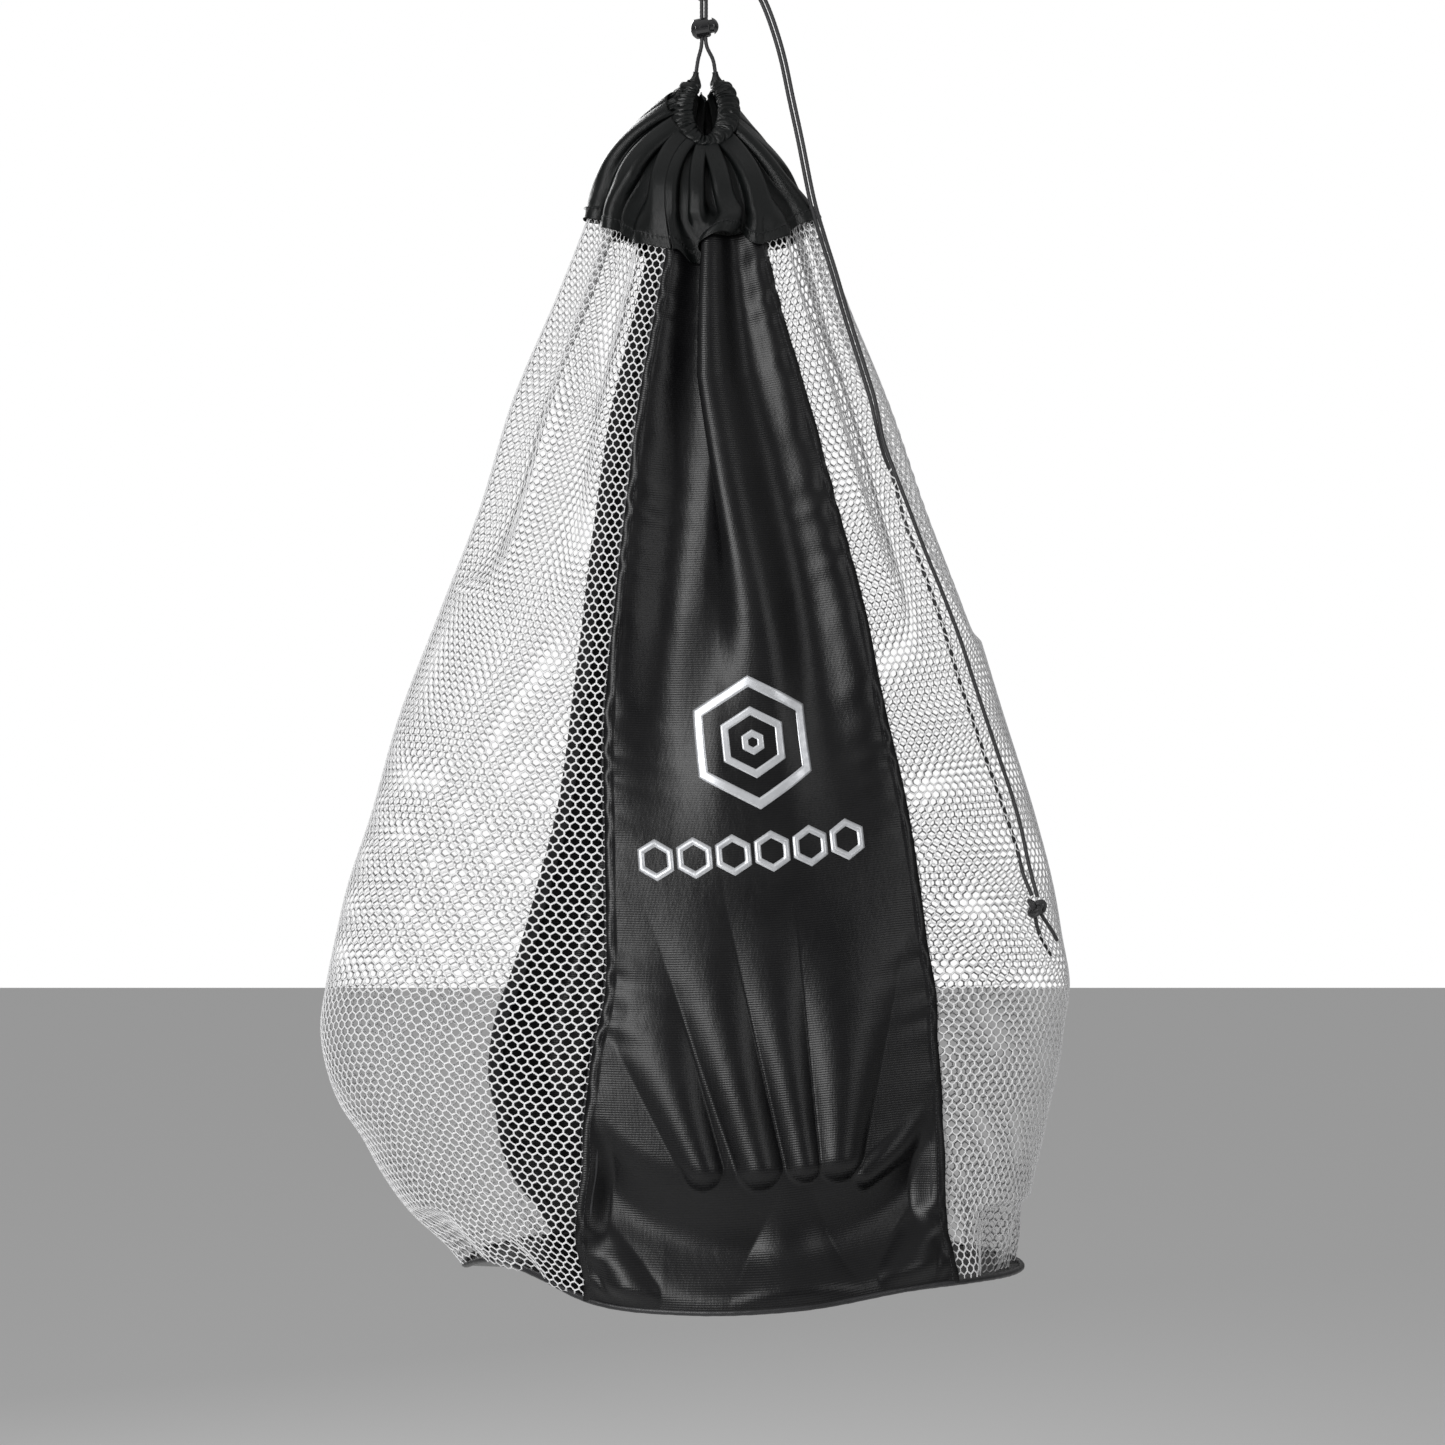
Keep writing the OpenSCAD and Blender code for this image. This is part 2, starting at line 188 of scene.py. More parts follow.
def cloth_place(tree, stretch=1.0):
    """The place on the flat cloth, in metres, drawn out along its height."""
    uv = node(tree, "ShaderNodeUVMap", uv_map="cloth").outputs["UV"]
    return node(tree, "ShaderNodeMapping", {"Vector": uv, "Scale": (1, 1 / stretch, 1)}).outputs["Vector"]


def noise(tree, place, scale, detail=2.0, roughness=0.5):
    made = node(tree, "ShaderNodeTexNoise",
                {"Vector": place, "Scale": scale, "Detail": detail, "Roughness": roughness})
    return made.outputs["Fac"]


def grain(tree, scale, *shape):
    """Noise in the piece's own space, a number of times to the metre."""
    return noise(tree, node(tree, "ShaderNodeTexCoord").outputs["Object"], scale, *shape)


def mapped(tree, value, low, high, to_low, to_high):
    made = node(tree, "ShaderNodeMapRange", {"Value": value, "From Min": low, "From Max": high,
                                             "To Min": to_low, "To Max": to_high})
    return made.outputs["Result"]


def tint(tree, shader, value, low, high, first, second):
    """Base colour that goes from the first to the second as a value goes from low to high."""
    share = mapped(tree, value, low, high, 0, 1)
    made = node(tree, "ShaderNodeMix", {0: share, 6: (*first, 1), 7: (*second, 1)}, data_type="RGBA")
    tree.links.new(made.outputs[2], shader.inputs["Base Color"])


def gloss(tree, shader, value, low, high, smooth, rough):
    """Roughness that goes from smooth to rough as a value goes from low to high."""
    tree.links.new(mapped(tree, value, low, high, smooth, rough), shader.inputs["Roughness"])


def math_node(tree, operation, first, second):
    return node(tree, "ShaderNodeMath", {0: first, 1: second}, operation=operation).outputs[0]


def weighted(tree, first, share, second):
    """Two values added by the share of the first."""
    return math_node(tree, "ADD", math_node(tree, "MULTIPLY", first, share),
                     math_node(tree, "MULTIPLY", second, 1 - share))


def bump(tree, shader, height, distance, strength):
    """A bump on top of any that the shader has already."""
    under = [link.from_socket for link in shader.inputs["Normal"].links]
    made = node(tree, "ShaderNodeBump", {"Height": height, "Distance": distance, "Strength": strength})
    for normal in under:
        tree.links.new(normal, made.inputs["Normal"])
    tree.links.new(made.outputs["Normal"], shader.inputs["Normal"])


def ribs(tree, place, period, direction):
    """Bands across the cloth, a period apart, from 0 to 1."""
    made = node(tree, "ShaderNodeTexWave", {"Vector": place, "Scale": math.tau / 20 / period,
                                            "Distortion": 0.5, "Detail": 1.0, "Detail Scale": 0.6},
                wave_type="BANDS", bands_direction=direction)
    return made.outputs["Fac"]


def ribbed_cloth(name, colour, pale, roughness, rib, crease):
    """Coated woven cloth with fine ribs across it, slight creases and rubbed patches."""
    made, tree, shader = new_material(name, 0.27)
    place = cloth_place(tree)
    weave = weighted(tree, ribs(tree, place, rib, "Y"), 0.75, ribs(tree, place, rib * 0.6, "X"))
    worn = weighted(tree, noise(tree, place, 14.0, 4.0, 0.6), 0.7, weave)
    tint(tree, shader, worn, 0.3, 0.75, colour, pale)
    gloss(tree, shader, worn, 0.3, 0.8, roughness - 0.05, roughness + 0.07)
    bump(tree, shader, noise(tree, cloth_place(tree, 1 / 0.45), 55.0, 5.0, 0.62), crease, 0.4)
    bump(tree, shader, weave, 0.00016, 0.6)
    return made


def net_yarn():
    """White knitted polyester yarn."""
    made, tree, shader = new_material("net_yarn", 0.3)
    strands = grain(tree, 2600.0, 2.0, 0.6)
    shade = weighted(tree, strands, 0.6, grain(tree, 40.0))
    tint(tree, shader, shade, 0.3, 0.7, (0.63, 0.63, 0.64), (0.77, 0.77, 0.77))
    gloss(tree, shader, strands, 0.3, 0.7, 0.55, 0.72)
    bump(tree, shader, strands, 0.0002, 0.6)
    return made


def braided_cord():
    """Black braided polyester cord."""
    made, tree, shader = new_material("braided_cord", 0.4)
    fibre = grain(tree, 1800.0, 3.0, 0.6)
    tint(tree, shader, fibre, 0.35, 0.7, (0.006, 0.006, 0.007), (0.030, 0.030, 0.032))
    gloss(tree, shader, fibre, 0.3, 0.7, 0.42, 0.62)
    bump(tree, shader, fibre, 0.0002, 0.6)
    shader.inputs["Sheen Weight"].default_value = 0.15
    return made


def plain_weave(name, colour, pale, roughness):
    """Narrow tape or piping cloth, or thread, with a fine grain."""
    made, tree, shader = new_material(name, 0.4)
    fine = grain(tree, 1500.0, 2.0, 0.6)
    tint(tree, shader, grain(tree, 25.0, 3.0), 0.35, 0.7, colour, pale)
    gloss(tree, shader, fine, 0.3, 0.7, roughness - 0.08, roughness + 0.08)
    bump(tree, shader, fine, 0.0002, 0.5)
    return made


def foil_print():
    """Silver-grey screen print, a little worn."""
    made, tree, shader = new_material("foil_print")
    worn = grain(tree, 90.0, 4.0, 0.65)
    tint(tree, shader, worn, 0.3, 0.75, (0.62, 0.63, 0.65), (0.40, 0.41, 0.43))
    gloss(tree, shader, worn, 0.3, 0.7, 0.30, 0.46)
    bump(tree, shader, grain(tree, 900.0), 0.0001, 0.4)
    shader.inputs["Metallic"].default_value = 0.55
    return made


def moulded_plastic():
    """Glossy black moulded plastic with fine scuffs."""
    made, tree, shader = new_material("moulded_plastic", 0.6)
    scuffs = grain(tree, 260.0, 4.0, 0.7)
    tint(tree, shader, scuffs, 0.55, 0.8, (0.010, 0.010, 0.011), (0.030, 0.030, 0.033))
    gloss(tree, shader, scuffs, 0.45, 0.75, 0.10, 0.30)
    bump(tree, shader, scuffs, 0.0001, 0.15)
    shader.inputs["Coat Weight"].default_value = 0.5
    shader.inputs["Coat Roughness"].default_value = 0.08
    return made


def spring_wire():
    """Bright drawn steel wire."""
    made, tree, shader = new_material("spring_wire")
    shader.inputs["Base Color"].default_value = (0.55, 0.56, 0.58, 1)
    gloss(tree, shader, grain(tree, 3000.0), 0.3, 0.7, 0.2, 0.36)
    shader.inputs["Metallic"].default_value = 1.0
    return made


PANEL_CLOTH = ribbed_cloth("panel_cloth", (0.002, 0.002, 0.0025), (0.007, 0.007, 0.0075),
                           roughness=0.34, rib=0.0018, crease=0.0012)
COLLAR_CLOTH = ribbed_cloth("collar_cloth", (0.001, 0.0015, 0.0015), (0.005, 0.006, 0.006),
                            roughness=0.30, rib=0.0008, crease=0.0009)
NET_YARN = net_yarn()
CORD_BRAID = braided_cord()
TAPE_WEAVE = plain_weave("tape_weave", (0.010, 0.010, 0.011), (0.022, 0.022, 0.024), 0.6)
PIPING_CLOTH = plain_weave("piping_cloth", (0.010, 0.010, 0.011), (0.024, 0.024, 0.026), 0.4)
THREAD_BLACK = plain_weave("stitch_thread", (0.012, 0.012, 0.013), (0.035, 0.035, 0.038), 0.5)
FOIL_PRINT = foil_print()
PLASTIC = moulded_plastic()
STEEL = spring_wire()


# ---- meshes

# Step along a cord, the length of the braid's pattern, its depth as a share of the radius, and the share of
# the radius that is left at the edge of a tube's end
CORD_STEP = 0.00075
BRAID_PITCH = 0.0030
BRAID_DEPTH = 0.07
CAP_SHARE = 0.4


def fast_mesh(name, points, quads, material, uv=None):
    """A smooth mesh of quads from arrays, with its place on the flat cloth as a UV map."""
    mesh = bpy.data.meshes.new(name)
    points = np.asarray(points, dtype=np.float32).reshape(-1, 3)
    quads = np.asarray(quads, dtype=np.int32)
    n = len(quads)
    mesh.vertices.add(len(points))
    mesh.vertices.foreach_set("co", points.ravel())
    mesh.loops.add(4 * n)
    mesh.loops.foreach_set("vertex_index", quads.ravel())
    mesh.polygons.add(n)
    mesh.polygons.foreach_set("loop_start", np.arange(0, 4 * n, 4, dtype=np.int32))
    mesh.polygons.foreach_set("use_smooth", np.ones(n, dtype=bool))
    mesh.update(calc_edges=True)
    if uv is not None:
        layer = mesh.uv_layers.new(name="cloth")
        layer.data.foreach_set("uv", np.asarray(uv, dtype=np.float32).reshape(-1, 2)[quads.ravel()].ravel())
    mesh.materials.append(material)
    return placed(name, mesh)


def ring_quads(rings, sides, closed=False):
    """Quads that join each ring of points to the next one, and the last to the first if closed."""
    i, k = np.meshgrid(np.arange(rings if closed else rings - 1), np.arange(sides), indexing="ij")
    here, ahead, beside = i * sides, (i + 1) % rings * sides, (k + 1) % sides
    return np.stack([here + k, here + beside, ahead + beside, ahead + k], -1).reshape(-1, 4)


def cap_quads(rings, sides):
    """Quads that close both ends of a row of rings, round the two points that follow the rings."""
    even = np.arange(0, sides, 2)
    last = (rings - 1) * sides
    middle = np.full_like(even, rings * sides)
    return np.concatenate([
        np.stack([middle, (even + 2) % sides, even + 1, even], -1),
        np.stack([middle + 1, last + even, last + even + 1, last + (even + 2) % sides], -1)])


def cells(grid):
    """Numbers of cells up and across a grid of points."""
    return grid.shape[0] - 1, grid.shape[1] - 1


def flat_place(grid, foot, head, height):
    """Places on the flat cloth of a grid's points, for cloth cut to a width at its foot and at its head."""
    rows, cols = cells(grid)
    v, u = np.linspace(0, 1, rows + 1)[:, None], np.linspace(-0.5, 0.5, cols + 1)
    return np.stack(np.broadcast_arrays(u * (foot + (head - foot) * v), v * height), -1)


def thicken(obj, thickness):
    """A thickness added behind a piece's faces."""
    solid = obj.modifiers.new("thickness", "SOLIDIFY")
    solid.thickness = thickness
    solid.offset = -1


def grid_mesh(name, grid, material, foot, head, height, thickness=CLOTH_T):
    """Cloth of a flat size as a grid of points, with a little thickness inside it."""
    rows, cols = cells(grid)
    quads = ring_quads(rows + 1, cols + 1).reshape(rows, cols + 1, 4)[:, :cols]
    obj = fast_mesh(name, grid, quads.reshape(-1, 4), material, flat_place(grid, foot, head, height))
    thicken(obj, thickness)
    return obj


def finish_piece(obj, nodes=(), body="bag"):
    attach(obj, body)
    if nodes:
        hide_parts(*nodes)


def distances(line):
    """How far along a line each of its points is."""
    return np.concatenate([[0], np.cumsum(np.linalg.norm(np.diff(line, axis=0), axis=1))])


def along_line(at, keys, line):
    """The points at some places along a line whose own points are at the keys."""
    return np.stack([np.interp(at, keys, line[:, k]) for k in range(3)], -1)


def smooth_path(points, step):
    """Points about a step apart along the round curve through the given points."""
    p = np.asarray(points, float)
    p = np.concatenate([[2 * p[0] - p[1]], p, [2 * p[-1] - p[-2]]])
    t = np.linspace(0, 1, 24, endpoint=False)[:, None]
    fine = []
    for a, b, c, d in zip(p[:-3], p[1:-2], p[2:-1], p[3:]):
        fine.append(0.5 * (2 * b + (c - a) * t + (2 * a - 5 * b + 4 * c - d) * t ** 2
                           + (3 * b - a - 3 * c + d) * t ** 3))
    fine = np.concatenate([*fine, [p[-2]]])
    far = distances(fine)
    count = max(2, int(round(far[-1] / step)))
    return along_line(np.linspace(0, far[-1], count + 1), far, fine)


def unit(v):
    return v / np.linalg.norm(v, axis=-1, keepdims=True)


def path_frames(path):
    """Two directions across the path at each of its points, carried along without twist."""
    heading = unit(np.gradient(path, axis=0))
    sides = np.zeros_like(path)
    side = np.array([0.08, 1, 0.03])
    for i, h in enumerate(heading):
        side = unit(side - side.dot(h) * h)
        sides[i] = side
    return sides, np.cross(heading, sides)


def tube(name, path, radius, material, sides=16, closed=False):
    """A tube along a path, closed by round caps, or joined end to end. The radius is a number or an
    array of one radius for each point and side."""
    first, second = path_frames(path)
    turn = np.linspace(0, math.tau, sides, endpoint=False)
    r = np.broadcast_to(radius, (len(path), sides))[..., None]
    rings = (path[:, None] + r * (np.cos(turn)[:, None] * first[:, None]
                                  + np.sin(turn)[:, None] * second[:, None]))
    if closed:
        return fast_mesh(name, rings, ring_quads(len(path), sides, True), material)
    tips = [path[k] + (rings[k] - path[k]) * CAP_SHARE for k in (0, -1)]
    points = np.concatenate([tips[0], rings.reshape(-1, 3), tips[1], path[:1], path[-1:]])
    count = len(path) + 2
    return fast_mesh(name, points, np.concatenate([ring_quads(count, sides), cap_quads(count, sides)]),
                     material)


def braid(count, sides=16):
    """Radius shares of a braided cord, for each point and side."""
    along = np.arange(count)[:, None] * CORD_STEP * math.tau / BRAID_PITCH
    turn = np.linspace(0, math.tau, sides, endpoint=False)[None, :]
    return 1 + BRAID_DEPTH * (np.cos(4 * turn + along / 2) * np.cos(4 * turn - along / 2) - 0.5)


# ---- cords

def rim(degrees):
    th = np.radians(degrees)
    return RIM_CENTRE + RIM_HALF * np.stack([np.cos(th), np.sin(th), np.sin(th)], -1)


def alongside(points, gap):
    """The route moved sideways in the plane of the front, by half the spacing of the two strands."""
    p = np.asarray(points, float)
    h = np.concatenate([[p[1] - p[0]], p[2:] - p[:-2], [p[-1] - p[-2]]])
    across = np.stack([-h[:, 2], 0 * h[:, 0], h[:, 0]], -1)
    return p + gap * unit(across)


def cord(name, route, nodes):
    """A braided cord along a route in metres. Returns the piece and its centreline."""
    path = smooth_path(route, CORD_STEP)
    piece = tube(name, path, CORD_D / 2 * braid(len(path)), CORD_BRAID)
    finish_piece(piece, nodes)
    return piece, path


def knot_route(size, share, centre, tilt):
    """One strand of a two-strand overhand knot, drawn in to a share of the knot's size."""
    t = np.radians(np.linspace(3, 357, 61))
    wide = size * share
    p = np.stack([wide * (np.sin(t) + 2 * np.sin(2 * t)), wide * (np.cos(t) - 2 * np.cos(2 * t)),
                  -KNOT_RISE * size * np.sin(3 * t)], -1)
    return p @ np.array(Euler(np.radians(tilt)).to_matrix()).T + np.asarray(centre) * MM


def cords():
    end_knot = []
    for label, share in (("outer", 1.0), ("inner", KNOT_INNER)):
        route = knot_route(END_KNOT_SIZE, share, END_KNOT, END_KNOT_TURN)
        end_knot.append(cord("end_knot_" + label, route, ["end_knot"])[0])
        cord("hang_knot_" + label, knot_route(KNOT_SIZE, share, HANG_KNOT, HANG_KNOT_TURN), ["hang_knot"])
    ends = [cord("cord_end_" + label + "_braid", np.array(route) * MM, ["cord_end_" + label])[0]
            for label, route in (("outer", END_OUTER), ("inner", END_INNER))]
    tails = (("outer", 1, TAIL_OUTER, [*end_knot, ends[0]]), ("inner", -1, TAIL_INNER, [ends[1]]))
    for label, side, tail, joined in tails:
        route = np.concatenate([alongside(TAIL_START, side * TAIL_SPACING / 2 / MM), tail]) * MM
        piece, path = cord("tail_cord_" + label + "_braid", route, ["tail_cord_" + label])
    route = np.concatenate([np.array(STRAND_LEFT) * MM, rim(RIM_TURN), np.array(STRAND_RIGHT) * MM])
    piece, path = cord("drawcord_braid", route, ["drawcord"])
    for name, side, nodes in (("hang_loop_front", -1, ["hang_loop"]), ("hang_loop_back", 1, [])):
        shift = np.array([0, side * STRAND_GAP / 2, -CORD_D / 2])
        cord(name, np.array(LOOP) * MM + shift, nodes)


cords()


# ---- the bag's outer shape

def smooth_lookup(x, table):
    """Values at x on the smooth curves through a table's rows, one for each column after the first."""
    keys = table[:, 0]
    i = np.clip(np.searchsorted(keys, x, side="right") - 1, 0, len(keys) - 2)
    gap = keys[i + 1] - keys[i]
    t = np.clip((x - keys[i]) / gap, 0, 1)
    t2 = t * t
    t3 = t2 * t
    found = []
    for values in table.T[1:]:
        slope = np.gradient(values, keys)
        found.append((2 * t3 - 3 * t2 + 1) * values[i] + (t3 - 2 * t2 + t) * gap * slope[i]
                     + (3 * t2 - 2 * t3) * values[i + 1] + (t3 - t2) * gap * slope[i + 1])
    return found


def smooth_step(x, low, high):
    t = np.clip((np.asarray(x, float) - low) / (high - low), 0, 1)
    return t * t * (3 - 2 * t)


def edges_at(v):
    """The four seams in degrees round the bag, at a share of the height."""
    return np.array(smooth_lookup(v, EDGES))


def hem_height(th):
    s = np.sin(np.radians(th))
    return -HEM_DROP - s * s * np.where(s < 0, HEM_FRONT_DIP, HEM_BACK_DIP)


def base_height(th):
    turn = (np.asarray(th) - 180) % 360 + 180
    return -BAG_DROP + smooth_lookup(turn, BASE_LIFT)[0]


def outline(th, v):
    """Points and outward normals of the bag's outer shape."""
    base = base_height(th)
    z = base + v * (hem_height(th) - base)
    a, b, cx = smooth_lookup(z, SECTIONS)
    c, s = np.cos(np.radians(th)), np.sin(np.radians(th))
    point = np.stack([cx + a * c, b * s, z], -1)
    return point, unit(np.stack([c / a, s / b, np.zeros_like(c)], -1))


def fold_path(width, span, wave, most=2.6):
    """How far along, and how far in, cloth of a width goes when it is folded into a span."""
    n = len(wave)
    ds = width / (n - 1)
    share = min(span / width, 1.0)
    low, high = 0.0, most
    for _ in range(26):
        mid = (low + high) / 2
        if np.cos(mid * wave).mean() > share:
            low = mid
        else:
            high = mid
    phi = low * wave
    middle = (phi[1:] + phi[:-1]) / 2
    along = np.concatenate([[0], np.cumsum(np.cos(middle) * ds)])
    inward = np.concatenate([[0], np.cumsum(np.sin(middle) * ds)])
    along *= span / along[-1]
    inward -= np.linspace(0, inward[-1], n)
    return along, inward


def pocket(x, place, width, swing):
    """A fold that dips in and comes out again, round a place on the cloth."""
    return -swing * np.sin(math.pi * np.clip((x - place) / width, -1, 1))


def knife(x, place, width, swing):
    """A fold that laps one part of the cloth over the other."""
    return swing * (1 + np.cos(math.pi * np.clip((x - place) / width, -1, 1))) / 2


# Folds of each side: kind, place, lean with height, width, swing, and the heights that it shows between
# where that is not all the way up
FOLDS = {
    "front": [(knife, 0.46, -0.02, 0.16, -1.0, 0.50, 2), (pocket, 0.20, 0.0, 0.20, 0.22, 0.35, 2),
              (pocket, 0.78, 0.0, 0.20, 0.26, 0.35, 2)],
    "right": [(pocket, 0.17, 0.0, 0.11, 0.8), (pocket, 0.38, 0.02, 0.10, 1.0),
              (pocket, 0.62, -0.02, 0.12, 1.0), (pocket, 0.86, 0.0, 0.10, 0.9),
              (pocket, 0.27, 0.5, 0.07, 0.9, -1, 0.22)],
    "back": [(pocket, 0.30, 0.02, 0.14, 1.0), (pocket, 0.70, -0.02, 0.14, 0.9)],
    "left": [(pocket, 0.12, 0.0, 0.10, 0.9), (pocket, 0.36, -0.02, 0.12, 1.0, 0.1, 2),
             (pocket, 0.60, 0.03, 0.11, 1.0), (pocket, 0.82, 0.0, 0.11, 0.8, 0.1, 2),
             (pocket, 0.86, -0.9, 0.06, 0.9, -1, 0.25), (pocket, 0.70, -0.6, 0.05, 0.6, -1, 0.2)],
}
COLS = {"front": 220, "right": 190, "back": 160, "left": 190}
ROWS = 400
# The deepest that a fold goes at the base, and how much less that is at the collar
FOLD_FOOT = 0.060
FOLD_LOSS = 0.046

# Ridges pressed into the front panel by what the bag holds, in millimetres seen from the front: top x, z,
# tip x, z, half width at the top and at the tip, height
RIDGES = [
    [-60, -785, 1, -938, 33, 15, 9], [-14, -735, 42, -936, 30, 17, 10], [38, -735, 74, -934, 27, 14, 9],
    [112, -740, 99, -930, 44, 18, 11], [171, -905, 120, -944, 16, 10, 6], [68, -948, 70, -1030, 9, 50, 8],
    [-84, -975, -46, -1030, 10, 18, 8], [-92, -1010, -68, -1030, 6, 8, 4], [186, -956, 148, -1018, 13, 21, 9],
    [190, -984, 162, -1002, 6, 7, 4], [168, -984, 176, -1016, 6, 7, 4],
]
# Slack below the ridges: how far below the ridges' tips it is deepest, where it ends, its depth, and the
# curve of its upper edge, highest at the sides
SLACK_TOP = -0.944
SLACK_MID = 0.045
SLACK_REACH = 0.13
SLACK_RISE = 0.055
SLACK_DROP = 0.048
SLACK_END = -1.030
SLACK_DEPTH = 0.017


def cloth_width(name, v):
    """The width that a side's cloth was cut to, at a share of its height."""
    foot, head = (NET_FOOT_W, NET_HEAD_W) if name in ("left", "right") else (PANEL_FOOT_W, PANEL_HEAD_W)
    return foot + (head - foot) * v


def side_wave(name, v, n):
    x = np.linspace(0, 1, n)
    wave = np.zeros(n)
    for fold, place, lean, width, swing, *heights in FOLDS[name]:
        low, high = heights or (-1, 2)
        shown = smooth_step(v, low, low + 0.35) * (1 - smooth_step(v, high - 0.15, high))
        wave += shown * fold(x, place + lean * v, width, swing)
    return wave


def side_edges(name, edges):
    """A side's first and last edge round the bag, from the four seams."""
    first = list(COLS).index(name)
    return (*edges, edges[0] + 360)[first:first + 2]


def fold_row(point, normal, width, wave, cols, deepest):
    """One row of folded cloth hung along a line of points, and how far the fold goes in."""
    arc = distances(point)
    along, inward = fold_path(width, arc[-1], wave)
    inward = deepest * np.tanh(inward / deepest)
    pick = np.linspace(0, len(wave) - 1, cols + 1).round().astype(int)
    along, inward = along[pick], inward[pick]
    return along_line(along, arc, point) - unit(along_line(along, arc, normal)) * inward[:, None]


def folded_side(name):
    """Grid of points of one side of the bag, rows from the base up, columns round the bag."""
    cols = COLS[name]
    grid = np.zeros((ROWS + 1, cols + 1, 3))
    for i in range(ROWS + 1):
        v = i / ROWS
        th = np.linspace(*side_edges(name, edges_at(v)), 300)
        point, normal = outline(th, v)
        wave = side_wave(name, v, cols * 4 + 1)
        grid[i] = fold_row(point, normal, cloth_width(name, v), wave, cols, FOLD_FOOT - FOLD_LOSS * v * v)
    return grid


def grid_normals(grid):
    """Outward normals of a grid whose columns run round the bag and whose rows run up."""
    return unit(np.cross(np.gradient(grid, axis=1), np.gradient(grid, axis=0)))


def sample(grid, u, v):
    """Values of a grid at shares u along its rows and v up its columns."""
    rows, cols = cells(grid)
    x, y = np.clip(u, 0, 1) * cols, np.clip(v, 0, 1) * rows
    j, i = np.minimum(x.astype(int), cols - 1), np.minimum(y.astype(int), rows - 1)
    fx, fy = (x - j)[..., None], (y - i)[..., None]
    return ((grid[i, j] * (1 - fx) + grid[i, j + 1] * fx) * (1 - fy)
            + (grid[i + 1, j] * (1 - fx) + grid[i + 1, j + 1] * fx) * fy)


def capsule(x, z, x0, z0, x1, z1, top, tip):
    """A round-ended ridge's height from 0 to 1 at each point, low at its top and full towards its tip."""
    dx, dz = x1 - x0, z1 - z0
    t = ((x - x0) * dx + (z - z0) * dz) / (dx * dx + dz * dz)
    held = np.clip(t, 0, 1)
    width = top + (tip - top) * held
    far = np.hypot(x - x0 - held * dx, z - z0 - held * dz) / width
    return np.clip(1 - far ** 2, 0, 1) * smooth_step(t, -0.1, 0.85)


def relief(grid):
    """How far the front panel's cloth stands out at each point of its grid."""
    x, z = grid[..., 0] / MM, grid[..., 2] / MM
    top = SLACK_TOP + SLACK_RISE * np.abs((grid[..., 0] - SLACK_MID) / SLACK_REACH) ** 3
    below = top - grid[..., 2]
    out = -SLACK_DEPTH * smooth_step(below, -0.008, SLACK_DROP)
    out = out * (1 - smooth_step(below, SLACK_DROP, np.maximum(top - SLACK_END, 2 * SLACK_DROP)))
    ridges = [height * capsule(x, z, *place) for *place, height in RIDGES]
    return out + np.max(ridges, axis=0) * MM


# How near the panels' sewn edges and foot their relief fades; the depth of the long and the short wrinkles
# along those edges; how far the cloth lies outside the nets, how much more at its turned hem, and the width
# of the hem's step
EDGE_HOLD = 0.018
FOOT_HOLD = 0.02
PUCKER_LONG = 0.0014
PUCKER_SHORT = 0.0002
PANEL_LIFT = 0.0013
HEM_LIFT = 0.0005
HEM_SLOPE = 0.0012


def puckers(edge_far, height, seed):
    """Small slanting wrinkles of uneven size that fade away from a sewn edge."""
    slant = height + 0.4 * edge_far
    uneven = 0.5 + 0.5 * np.sin(math.tau * slant / 0.137 + seed) * np.sin(math.tau * slant / 0.081 + 2 * seed)
    long = np.sin(math.tau * (slant / 0.034 + 0.5 * np.sin(height / 0.029 + seed)))
    short = np.sin(math.tau * (height / 0.0093 + 0.4 * np.sin(height / 0.013 + seed)))
    return (PUCKER_LONG * uneven * np.exp(-edge_far / 0.02) * long
            + PUCKER_SHORT * np.exp(-edge_far / 0.005) * short)


def lapped(grid):
    """The grid with one more column on each side, laid a little way over the neighbouring cloth."""
    before = grid[:, :1] + unit(grid[:, :1] - grid[:, 3:4]) * LAP
    after = grid[:, -1:] + unit(grid[:, -1:] - grid[:, -4:-3]) * LAP
    return np.concatenate([before, grid, after], axis=1)


def panel(name):
    """The black cloth of one side: its relief, its sewn edges laid over the nets, and turned hems."""
    grid = SIDES[name]
    rows, cols = cells(grid)
    u, v = np.linspace(0, 1, cols + 1), np.linspace(0, 1, rows + 1)[:, None]
    edge_far = np.minimum(u, 1 - u) * cloth_width(name, v)
    height = SIDE_HEIGHT * v
    held = smooth_step(edge_far, 0, EDGE_HOLD) * smooth_step(height, 0, FOOT_HOLD)
    out = relief(grid) * held if name == "front" else 0
    out = out + puckers(edge_far, height, len(name)) * smooth_step(edge_far, -0.001, 0.004)
    hem = 1 - smooth_step(edge_far, HEM_W - LAP, HEM_W - LAP + HEM_SLOPE)
    return lapped(grid + grid_normals(grid) * (out + PANEL_LIFT + HEM_LIFT * hem)[..., None])


# Stitches: their spacing, length and half thickness, and one stitch's rings as shares of its length, width
# and height
STITCH_PITCH = 0.0034
STITCH_LENGTH = 0.0024
STITCH_HALF = 0.00028
STITCH_RINGS = [(-0.5, 0.35, 0.3), (-0.3, 1.0, 1.0), (0.3, 1.0, 1.0), (0.5, 0.35, 0.3)]


